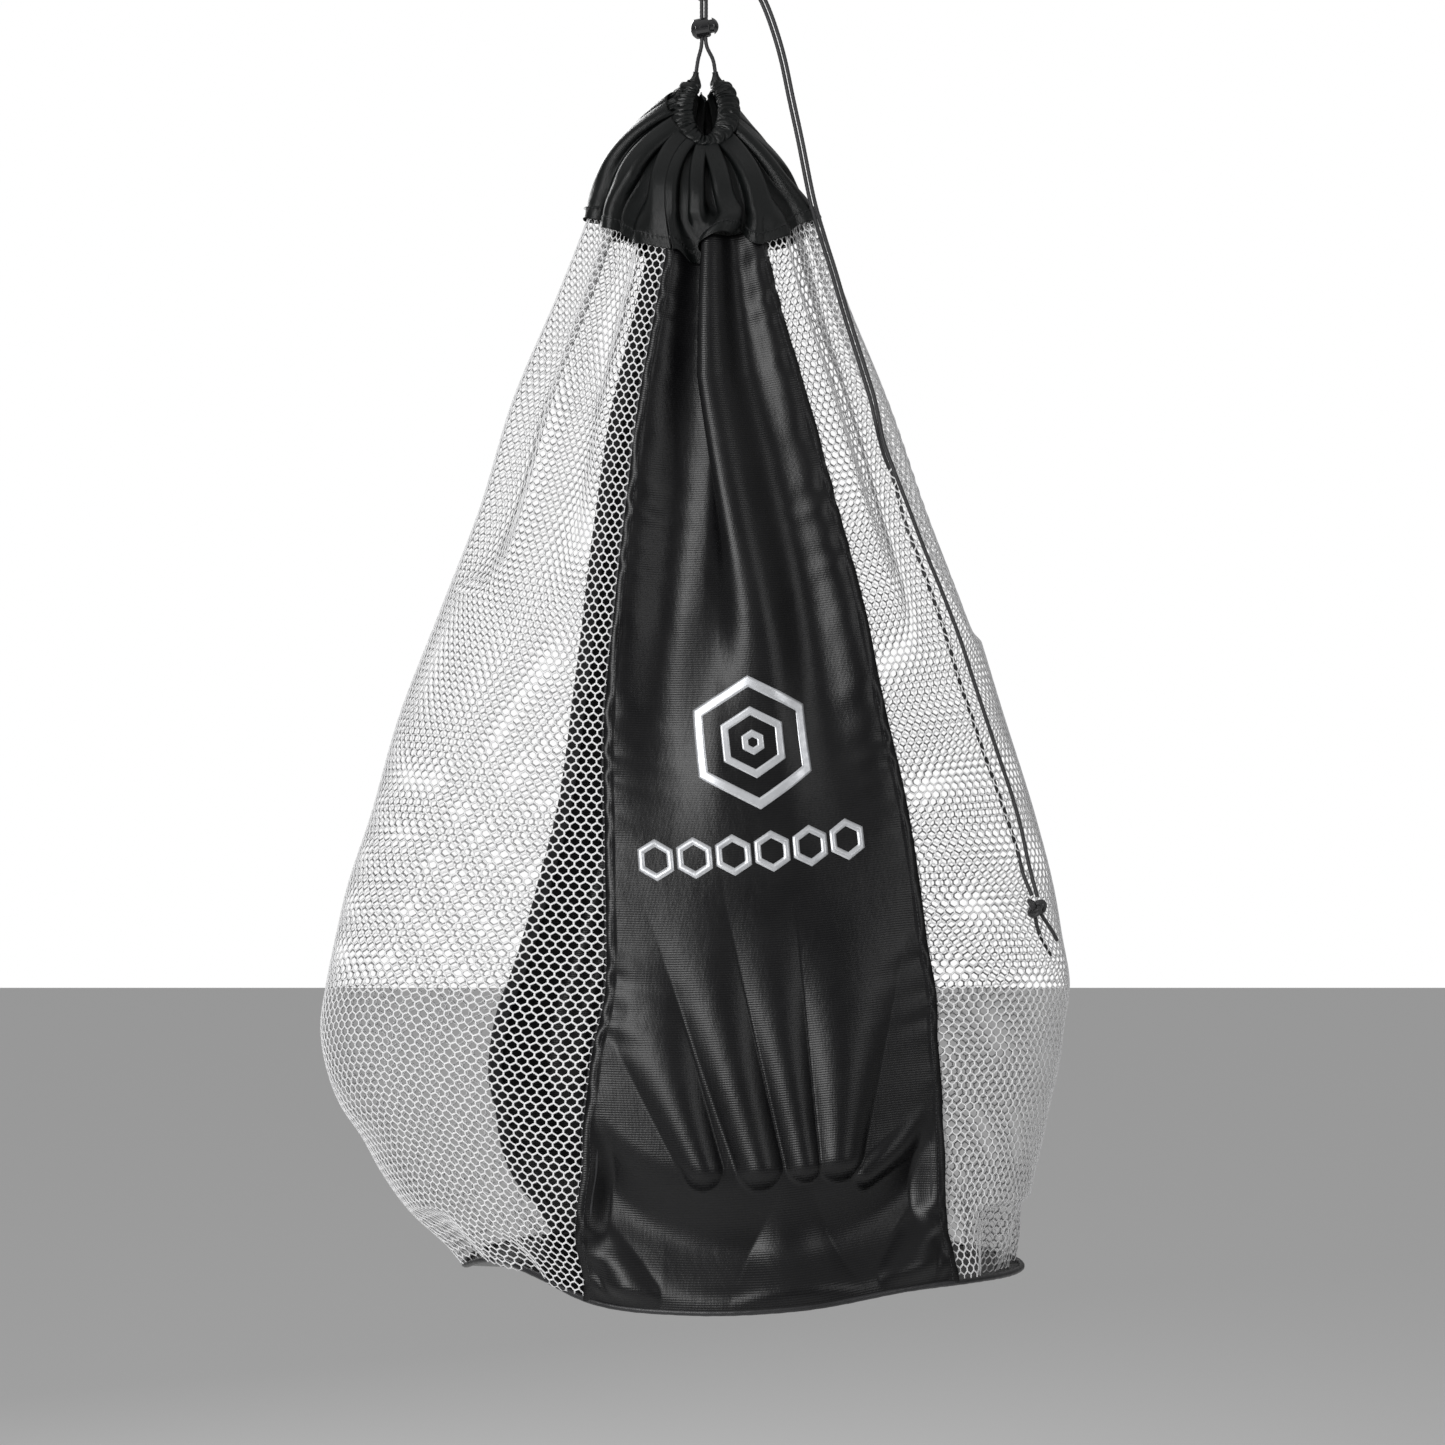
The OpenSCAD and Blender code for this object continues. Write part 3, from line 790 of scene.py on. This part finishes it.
def stitches(name, line, out):
    """A row of sewn stitches along a line on the cloth, each a small round-ended bar of thread."""
    far = distances(line)
    at = np.arange(STITCH_PITCH, far[-1] - STITCH_PITCH, STITCH_PITCH)
    middle = along_line(at, far, line)
    along = unit(along_line(at + 0.4 * STITCH_PITCH, far, line) - middle)
    lift = unit(along_line(at, far, out))
    side = np.cross(along, lift)
    rings = []
    for share, wide, high in STITCH_RINGS:
        centre = middle + along * share * STITCH_LENGTH + lift * STITCH_HALF * 0.6
        for a, b in ((1, 0), (0, 1), (-1, 0), (0, -1)):
            rings.append(centre + (side * a * wide + lift * b * high) * STITCH_HALF)
    one = np.concatenate([ring_quads(4, 4), [[3, 2, 1, 0], [12, 13, 14, 15]]])
    quads = (one[:, None] + 16 * np.arange(len(at))[:, None]).reshape(-1, 4)
    finish_piece(fast_mesh(name, np.stack(rings, 1), quads, THREAD_BLACK))


# ---- nets

# How far a cell's corners reach above and below its middle, and where the first row's middle is, in rows;
# how near middles come to the sewn edges, in cells; how much flatter holes are than cells; and how far the
# threads' ridges stand out on each face, in threads
CELL_REACH = 0.74
FIRST_ROW = 0.62
EDGE_GAP = 0.4
HOLE_FLATTER = 0.05
RIDGE_LIFT = 0.42
# Places closer than this share of a row are one corner
CORNER_JOIN = 0.02


def net_mesh(name, grid, width, height):
    """Knitted net of staggered hexagons as threads with a ridge on each face, round open holes."""
    across = int(width / CELL_W)
    c, r = np.meshgrid(np.arange(across + 1), np.arange(int(NET_TOP * height / CELL_H)))
    cx = ((c + 0.5 * (r % 2)) * CELL_W + (width - across * CELL_W) / 2).ravel()
    cy = ((r + FIRST_ROW) * CELL_H).ravel()
    inside = (cx > CELL_W * EDGE_GAP) & (cx < width - CELL_W * EDGE_GAP)
    cx, cy = cx[inside, None], cy[inside, None]
    # Six corners of each cell from the top, anticlockwise
    half, tall = CELL_W / 2, CELL_H * CELL_REACH
    low = CELL_H - tall
    corner_x = cx + np.array([0, -half, -half, 0, half, half])
    corner_y = cy + np.array([tall, low, -low, -tall, -low, low])
    key = np.round(corner_x / half) * 100000 + np.round(corner_y / (CELL_H * CORNER_JOIN))
    _, first, ridge = np.unique(key.astype(np.int64).ravel(), return_index=True, return_inverse=True)
    ridge = ridge.reshape(-1, 6)
    ridge_x, ridge_y = corner_x.ravel()[first], corner_y.ravel()[first]
    shrink = 1 - THREAD / CELL_W
    hole_x = (cx + (corner_x - cx) * shrink).ravel()
    hole_y = (cy + (corner_y - cy) * (shrink - HOLE_FLATTER)).ravel()
    normals = grid_normals(grid)

    def on_cloth(x, y, lift):
        u, v = x / width, y / height
        return sample(grid, u, v) + unit(sample(normals, u, v)) * lift

    n = len(first)
    rise = THREAD * RIDGE_LIFT
    points = np.concatenate([on_cloth(ridge_x, ridge_y, rise), on_cloth(ridge_x, ridge_y, -rise),
                             on_cloth(hole_x, hole_y, 0.0)])
    hole = 2 * n + np.arange(len(hole_x)).reshape(-1, 6)
    turn = np.roll(np.arange(6), -1)
    outer = np.stack([ridge, hole, hole[:, turn], ridge[:, turn]], -1).reshape(-1, 4)
    inner = np.stack([ridge[:, turn] + n, hole[:, turn], hole, ridge + n], -1).reshape(-1, 4)
    sides = np.stack([ridge, ridge[:, turn]], -1).reshape(-1, 2)
    ordered = np.sort(sides, axis=1)
    _, back, uses = np.unique(ordered[:, 0] * n + ordered[:, 1], return_inverse=True, return_counts=True)
    start, end = sides[uses[back.ravel()] == 1].T
    edge = np.stack([end, end + n, start + n, start], -1)
    return fast_mesh(name, points, np.concatenate([outer, inner, edge])[:, ::-1], NET_YARN)


# ---- build

SIDES = {name: folded_side(name) for name in COLS}
for side_name in ("left", "right"):
    piece = net_mesh(side_name + "_net", SIDES[side_name], NET_FOOT_W, SIDE_HEIGHT)
    finish_piece(piece, [side_name + "_mesh"])
PANELS = {name: panel(name) for name in ("front", "back")}
for side_name, grid in PANELS.items():
    piece = grid_mesh(side_name + "_panel_cloth", grid, PANEL_CLOTH, PANEL_FOOT_FLAT, PANEL_HEAD_FLAT,
                      SIDE_HEIGHT)
    finish_piece(piece, [side_name + "_panel"])
    for label, column in (("left", 2), ("right", -3)):
        stitches(side_name + "_" + label + "_edge_stitches", grid[:, column],
                 grid_normals(grid)[:, column])


# ---- collar and casing

COLLAR_ROWS = 76
COLLAR_COLS = {"front": 240, "right": 330, "back": 240, "left": 330}
# Share of the bag's height where the hem is, share of the collar where its cloth starts below the rim, and
# the dip of the rim between the ears behind
HEM_SHARE = 0.985
HEAD_SHARE = 0.03
NOTCH_DEPTH = 0.013
# How far the left shoulder stands out past the rim, and the deepest fold at the rim
SHOULDER = np.array([-0.006, 0, 0.010])
RIM_FOLD = 0.010
# How far the collar's foot and its hem stand out, the width of the hem's step, and the depth of the collar's
# gathers and of its seam's pinches
COLLAR_LIFT = 0.0030
COLLAR_HEM_LIFT = 0.0007
COLLAR_HEM_SLOPE = 0.002
GATHER_DEPTH = 0.0008
PINCH_DEPTH = 0.0004
# Folds that gather each side of the collar to the rim: place, width, swing
RIM_FOLDS = {
    "front": [(0.16, 0.13, 0.9), (0.47, 0.15, 1.0), (0.82, 0.15, 0.9)],
    "right": [(0.13, 0.11, 0.8), (0.36, 0.12, 1.0), (0.61, 0.10, 0.9), (0.86, 0.11, 0.9)],
    "back": [(0.16, 0.13, 0.9), (0.50, 0.16, 1.0), (0.84, 0.13, 0.9)],
    "left": [(0.12, 0.10, 0.9), (0.35, 0.12, 1.0), (0.60, 0.11, 0.9), (0.85, 0.12, 1.0)],
}


def hem_reach(x):
    """How far down the collar's front reaches across its cloth: longer on the left, arched on the right."""
    left_part = smooth_step(x, 0.02, 0.10) * (1 - smooth_step(x, 0.36, 0.42))
    right_part = smooth_step(x, 0.46, 0.62) * (1 - smooth_step(x, 0.80, 0.98))
    return 1 + 0.09 * left_part - 0.15 * right_part


def collar_line(th, t):
    """Points and outward normals round the collar at a share t from the rim to the hem."""
    hem, out = outline(th, HEM_SHARE)
    c, s = np.cos(np.radians(th)), np.sin(np.radians(th))
    turn = np.asarray(th) % 360
    notch = np.clip(1 - np.abs(turn - 90) / (90 - EAR_RIGHT), 0, 1)
    top = rim(th) + SHOULDER * np.clip(-c, 0, 1)[:, None] ** 2
    top[:, 2] -= NOTCH_DEPTH * notch
    away = np.stack([c, s, np.zeros_like(c)], -1)
    stand = (PUFF_MEAN - PUFF_LEAN * c)[:, None] * math.sin(math.pi * t ** PUFF_RISE)
    return top + t * (hem - top) + stand * away, unit(away * (1 - t) + out * t)


def collar_side(name):
    """Grid of points of one side of the collar, rows from the hem up to the rim."""
    cols = COLLAR_COLS[name]
    grid = np.zeros((COLLAR_ROWS + 1, cols + 1, 3))
    n = cols * 3 + 1
    x = np.linspace(0, 1, n)
    hem_wave = side_wave(name, 1.0, n)
    rim_wave = sum(pocket(x, *fold) for fold in RIM_FOLDS[name])
    for i in range(COLLAR_ROWS + 1):
        t = 1 - i / COLLAR_ROWS * (1 - HEAD_SHARE)
        share = float(smooth_step(t, 0.45, 1.0))
        th = np.linspace(*side_edges(name, RIM_EDGES + (edges_at(1) - RIM_EDGES) * t), 400)
        point, normal = collar_line(th, t)
        wave = hem_wave * share + rim_wave * (1 - share)
        deepest = RIM_FOLD + (FOLD_FOOT - FOLD_LOSS - RIM_FOLD) * t
        grid[i] = fold_row(point, normal, cloth_width(name, 1.0), wave, cols, deepest)
    return reached(grid) if name == "front" else grid


def reached(grid):
    """The grid with each of its columns drawn longer or shorter towards the hem."""
    rows, cols = cells(grid)
    t = np.linspace(1, HEAD_SHARE, rows + 1)[:, None] * hem_reach(np.linspace(0, 1, cols + 1))[None, :]
    at = (1 - t) / (1 - HEAD_SHARE) * rows
    low = np.clip(np.floor(at).astype(int), 0, rows - 1)
    column = np.broadcast_to(np.arange(cols + 1), low.shape)
    share = (at - low)[..., None]
    return grid[low, column] * (1 - share) + grid[low + 1, column] * share


def collar():
    grids = [collar_side(name) for name in COLS]
    grid = np.concatenate([g[:, :-1] for g in grids] + [grids[0][:, :1]], axis=1)
    around = 2 * (PANEL_HEAD_W + NET_HEAD_W)
    t = np.linspace(1, HEAD_SHARE, COLLAR_ROWS + 1)[:, None]
    up = (1 - t) * COLLAR_HEIGHT
    place = np.linspace(0, around, grid.shape[1])[None, :]
    gathers = np.exp(-t / 0.2) * np.sin(math.tau * (place / 0.034 + 0.5 * np.sin(place / 0.061)))
    hem = 1 - smooth_step(up, COLLAR_HEM_W, COLLAR_HEM_W + COLLAR_HEM_SLOPE)
    tight = np.exp(-((up - COLLAR_HEM_W) / 0.0012) ** 2) * np.sin(math.tau * place / 0.0032)
    out = (COLLAR_LIFT * smooth_step(t, 0.55, 0.9) + COLLAR_HEM_LIFT * hem + GATHER_DEPTH * gathers
           + PINCH_DEPTH * tight)
    grid = grid + grid_normals(grid) * out[..., None]
    piece = grid_mesh("collar_cloth", grid, COLLAR_CLOTH, around, around, COLLAR_HEIGHT)
    finish_piece(piece, ["collar"])
    row = int(np.argmin(np.abs(up[:, 0] - COLLAR_HEM_W)))
    stitches("collar_hem_stitches", grid[row], grid_normals(grid)[row])


# The casing's band: half width along the cloth, half thickness, half width where the cord leaves it, length
# over which it narrows there, share that it narrows at the front, share of it within each ear, step along it,
# points round it, flat cloth to a radian round it, and its gathers' spacing and depth across and through it
BAND_HALF_W = 0.0092
BAND_HALF_T = 0.0046
BAND_END = 0.0023
BAND_TAPER = 0.016
BAND_NARROW = 0.35
BAND_EAR = 0.04
BAND_STEP = 0.0004
BAND_SIDES = 64
BAND_FLAT = 0.006
RUFFLE = 0.0047
GROOVE_IN = 0.16
GROOVE_DEEP = 0.52


def ruffles(s, q):
    """Depth from 0 to 1 of the casing's gathers, at a length along it and an angle round it."""
    wander = 0.9 * np.sin(math.tau * s / 0.027) + 0.6 * np.sin(math.tau * s / 0.0113 + 1)
    bend = 1.5 * np.cos(q) ** 2 + 0.5 * np.sin(q + s / 0.006)
    near = np.abs(np.sin(math.pi * s / RUFFLE + wander + bend))
    outer = np.abs(np.sin(math.pi * s / (RUFFLE * 1.45) + 2.1 + bend * 1.4))
    lobes = near + (outer - near) * smooth_step(np.cos(q), 0.1, 0.9)
    swell = 0.75 + 0.25 * np.sin(math.tau * s / 0.019 + 0.6)
    return (1 - lobes) ** 1.4 * swell


def casing():
    """The ruched channel that the drawcord runs in: a flattened band, drawn to a point at each ear."""
    ring = rim(RIM_TURN)
    first = (ring[0] + np.array(STRAND_LEFT[-1]) * MM) / 2
    last = (ring[-1] + np.array(STRAND_RIGHT[0]) * MM) / 2
    path = smooth_path([first, *ring, last], BAND_STEP)
    s = np.arange(len(path)) * BAND_STEP
    turn = np.radians(np.interp(s / s[-1], [BAND_EAR, 1 - BAND_EAR], RIM_TURN[[0, -1]]))
    front = np.clip(-np.sin(turn), 0, 1) ** 2
    heading = unit(np.gradient(path, axis=0))
    wide = np.stack([np.tanh(3 * np.cos(turn)), -0.5 * front, -0.3 - 0.55 * front], -1)
    wide = unit(wide - (wide * heading).sum(-1, keepdims=True) * heading)
    thick = np.cross(heading, wide)
    full = smooth_step(np.minimum(s, s[-1] - s), 0.001, BAND_TAPER)
    half_w = BAND_END + (BAND_HALF_W * (1 - BAND_NARROW * front ** 3) - BAND_END) * full
    half_t = BAND_END + (BAND_HALF_T - BAND_END) * full
    q = np.linspace(0, math.tau, BAND_SIDES, endpoint=False)[None, :]
    groove = ruffles(s[:, None], q) * full[:, None]
    across = half_w[:, None] * np.cos(q) * (1 - GROOVE_IN * groove)
    deep = half_t[:, None] * np.sign(np.sin(q)) * np.abs(np.sin(q)) ** 0.8 * (1 - GROOVE_DEEP * groove)
    rings = path[:, None] + across[..., None] * wide[:, None] + deep[..., None] * thick[:, None]
    points = np.concatenate([rings.reshape(-1, 3), path[:1], path[-1:]])
    quads = np.concatenate([f(len(path), BAND_SIDES) for f in (ring_quads, cap_quads)])
    uv = np.stack(np.broadcast_arrays(q * BAND_FLAT, s[:, None]), -1)
    uv = np.concatenate([uv.reshape(-1, 2), uv[:1, 0], uv[-1:, 0]])
    piece = fast_mesh("casing_cloth", points, quads, COLLAR_CLOTH, uv)
    finish_piece(piece, ["drawcord_casing"])


collar()
casing()


# ---- base, piping and seam tapes

BASE_RINGS = 40
BASE_TURNS = 144
BASE_INSET = 0.0012
BASE_SAG = 0.0045
BASE_WAVE = 0.0012
BASE_T = 0.0008
# Share of the base left out at its very middle, and the cloth's size as if its rings were straight rows
BASE_LEFT_OUT = 0.001
BASE_FLAT = (1.28, 0.02, 0.2)
# The seam tapes: width, thickness, and how far inside the seam they lie
TAPE_W = 0.012
TAPE_T = 0.0006
TAPE_IN = 0.0016


def base_ring(th, grow=0.0):
    c, s = np.cos(np.radians(th)), np.sin(np.radians(th))
    return np.stack([BASE_CX + (BASE_HALF_W + grow) * c, (BASE_HALF_D + grow) * s, base_height(th)], -1)


def base():
    """Oval bottom cloth that sags a little inside its seam."""
    share = np.linspace(1, BASE_LEFT_OUT, BASE_RINGS + 1)[:, None]
    th = np.linspace(0, 360, BASE_TURNS + 1)
    middle = np.array([BASE_CX, 0, -BAG_DROP])
    grid = middle + (base_ring(th, -BASE_INSET) - middle) * share[..., None]
    waves = BASE_WAVE * np.sin(np.radians(th) * 5 + 0.7) * np.sin(share * 9)
    grid[..., 2] += waves * (1 - share) - BASE_SAG * (1 - share ** 2)
    piece = grid_mesh("base_cloth", grid, PANEL_CLOTH, *BASE_FLAT, BASE_T)
    finish_piece(piece, ["base_panel"])


def piping():
    path = base_ring(np.linspace(0, 360, 721)[:-1])
    s = np.arange(len(path))
    radius = PIPING_R * (1 + 0.05 * np.sin(s * 0.9) * np.sin(s * 0.23))[:, None]
    finish_piece(tube("base_piping_welt", path, radius, PIPING_CLOTH, 12, closed=True),
                 ["base_piping"])


def seam_tape(name, side, column):
    """Binding tape over the seam allowance, inside the bag along one edge of a panel."""
    line, out = SIDES[side][:, column], grid_normals(SIDES[side])[:, column]
    across = unit(np.cross(np.gradient(line, axis=0), out))
    width = np.linspace(-0.5, 0.5, 7)[:, None] * TAPE_W
    tape = (line - out * TAPE_IN)[:, None] + across[:, None] * width
    piece = grid_mesh(name + "_seam_tape", tape, TAPE_WEAVE, TAPE_W, TAPE_W, SIDE_HEIGHT, TAPE_T)
    finish_piece(piece, [name + "_binding"])


base()
piping()
for name, side, column in (("front_left", "front", 0), ("front_right", "front", -1),
                           ("back_right", "back", 0), ("back_left", "back", -1)):
    seam_tape(name, side, column)


# ---- print on the front

# Middles of the mark and the row on the panel's flat cloth, from the middle of its foot
MARK_AT = np.array([0.0020455, 0.42745])
ROW_AT = np.array([-0.0075794, 0.342375])
ROW_STEP = 0.0305
ROW_SLOPE = 0.05
PRINT_LIFT = 0.0003
# Outer and inner radius of each printed ring
MARK_RINGS = [(0.052, 0.043), (0.028, 0.021), (0.010, 0.004)]
ROW_RING = (0.016, 0.010)


def hexagon(outer, inner, steps=20, bands=4):
    """Flat points and quads of a pointed-top hexagonal ring."""
    corner = np.radians(90 + 60 * np.arange(7))
    share = np.linspace(0, 1, steps, endpoint=False)[None, :, None]
    points = np.stack([np.cos(corner), np.sin(corner)], -1)
    edge = (points[:-1, None] * (1 - share) + points[1:, None] * share).reshape(-1, 2)
    rings = np.concatenate([edge * r for r in np.linspace(outer, inner, bands + 1)])
    return rings, ring_quads(bands + 1, len(edge))


def print_piece(name, middles, shapes):
    """Flat shapes of as many points each, laid round their middles on the front panel as one thin print."""
    grid = PANELS["front"]
    flat = np.concatenate([points + middle for middle, (points, _) in zip(middles, shapes)])
    quads = np.concatenate([faces + i * len(points) for i, (points, faces) in enumerate(shapes)])
    v = flat[:, 1] / SIDE_HEIGHT
    u = 0.5 + flat[:, 0] / (cloth_width("front", v) + 2 * LAP)
    place = sample(grid, u, v) + unit(sample(grid_normals(grid), u, v)) * PRINT_LIFT
    piece = fast_mesh(name, place, quads, FOIL_PRINT, flat)
    thicken(piece, PRINT_LIFT / 2)
    finish_piece(piece)


def prints():
    rings = [hexagon(outer, inner) for outer, inner in MARK_RINGS]
    print_piece("hexagon_mark_print", [MARK_AT] * len(rings), rings)
    places = [ROW_AT + np.array([ROW_STEP, ROW_SLOPE * ROW_STEP]) * (k - 2.5) for k in range(6)]
    print_piece("hexagon_row_print", places, [hexagon(*ROW_RING, 5, 2)] * len(places))


prints()


# ---- cord lock

LOCK_CENTRE = np.array([0.0007, 0, -0.076])
LOCK_TILT = math.radians(12)
LOCK_ROUND = 0.00025
# Along the lock's axis: the barrel's floor, the spring's start above it, and the spring's length
LOCK_FLOOR = -0.0086
SPRING_FOOT = 0.0005
SPRING_LENGTH = 0.0027
SPRING_COILS = 3
SPRING_R = 0.003
SPRING_WIRE = 0.0004


def lock_finish(name):
    """A better material and softly rounded edges for one of the lock's CAD pieces."""
    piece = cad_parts[name]
    for held in piece.material_slots:
        held.material = PLASTIC
    joined = piece.modifiers.new("joined corners", "WELD")
    joined.merge_threshold = 0.00001
    edge = piece.modifiers.new("rounded edges", "BEVEL")
    edge.width = LOCK_ROUND
    edge.segments = 3
    edge.limit_method = "ANGLE"
    edge.angle_limit = math.radians(35)
    piece.data.polygons.foreach_set("use_smooth", np.ones(len(piece.data.polygons), dtype=bool))
    piece.modifiers.new("even shading", "WEIGHTED_NORMAL")


def lock_spring():
    """The coil spring on the lock's tilted axis."""
    axis = np.array([math.cos(LOCK_TILT), 0, math.sin(LOCK_TILT)])
    across = np.array([math.sin(LOCK_TILT), 0, -math.cos(LOCK_TILT)])
    turn = np.linspace(0, math.tau * SPRING_COILS, 60 * SPRING_COILS + 1)[:, None]
    rise = SPRING_FOOT + SPRING_LENGTH * turn / turn[-1]
    path = (LOCK_CENTRE + axis * (LOCK_FLOOR + rise)
            + SPRING_R * (np.cos(turn) * across + np.sin(turn) * np.array([0, 1, 0])))
    piece = tube("lock_spring_coil", path, SPRING_WIRE / 2, STEEL, 12)
    finish_piece(piece, ["lock_spring"], "cord_lock")
    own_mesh(piece)


lock_finish("lock_barrel")
lock_finish("lock_plunger")
lock_spring()


# ---- light

FLOOR_Z = -2.05
FLOOR_HALF = 14
BAG_MIDDLE = Vector((0, 0, -0.6))


def area_light(name, place, size, power):
    data = bpy.data.lights.new(name, "AREA")
    data.shape = "RECTANGLE"
    data.size, data.size_y = size
    data.energy = power
    obj = placed(name, data)
    obj.location = place
    obj.rotation_euler = (BAG_MIDDLE - obj.location).to_track_quat("-Z", "Y").to_euler()


def studio():
    world = bpy.data.worlds.new("studio")
    bpy.context.scene.world = world
    world.use_nodes = True
    tree = world.node_tree
    seen = node(tree, "ShaderNodeLightPath").outputs["Is Camera Ray"]
    place = node(tree, "ShaderNodeTexCoord").outputs["Generated"]
    height = node(tree, "ShaderNodeSeparateXYZ", {"Vector": place}).outputs["Z"]
    soft = mapped(tree, height, -0.2, 0.9, 0.03, 0.50)
    strength = math_node(tree, "MAXIMUM", soft, seen)
    tree.nodes["Background"].inputs[0].default_value = (1, 1, 1, 1)
    tree.links.new(strength, tree.nodes["Background"].inputs[1])
    area_light("key", (-1.35, -2.65, 0.2), (1.2, 1.9), 82)
    area_light("fill", (2.3, -1.8, 0.1), (1.0, 1.6), 14)
    area_light("rear", (-1.2, 2.4, 0.9), (1.6, 1.6), 45)
    pale, _, shader = new_material("floor")
    shader.inputs["Base Color"].default_value = (0.78, 0.78, 0.78, 1)
    shader.inputs["Roughness"].default_value = 0.9
    corners = [(x * FLOOR_HALF, y * FLOOR_HALF, FLOOR_Z) for x, y in ((-1, -1), (1, -1), (1, 1), (-1, 1))]
    fast_mesh("floor", corners, [[0, 1, 2, 3]], pale)
    bpy.context.scene.view_settings.view_transform = "Standard"


studio()
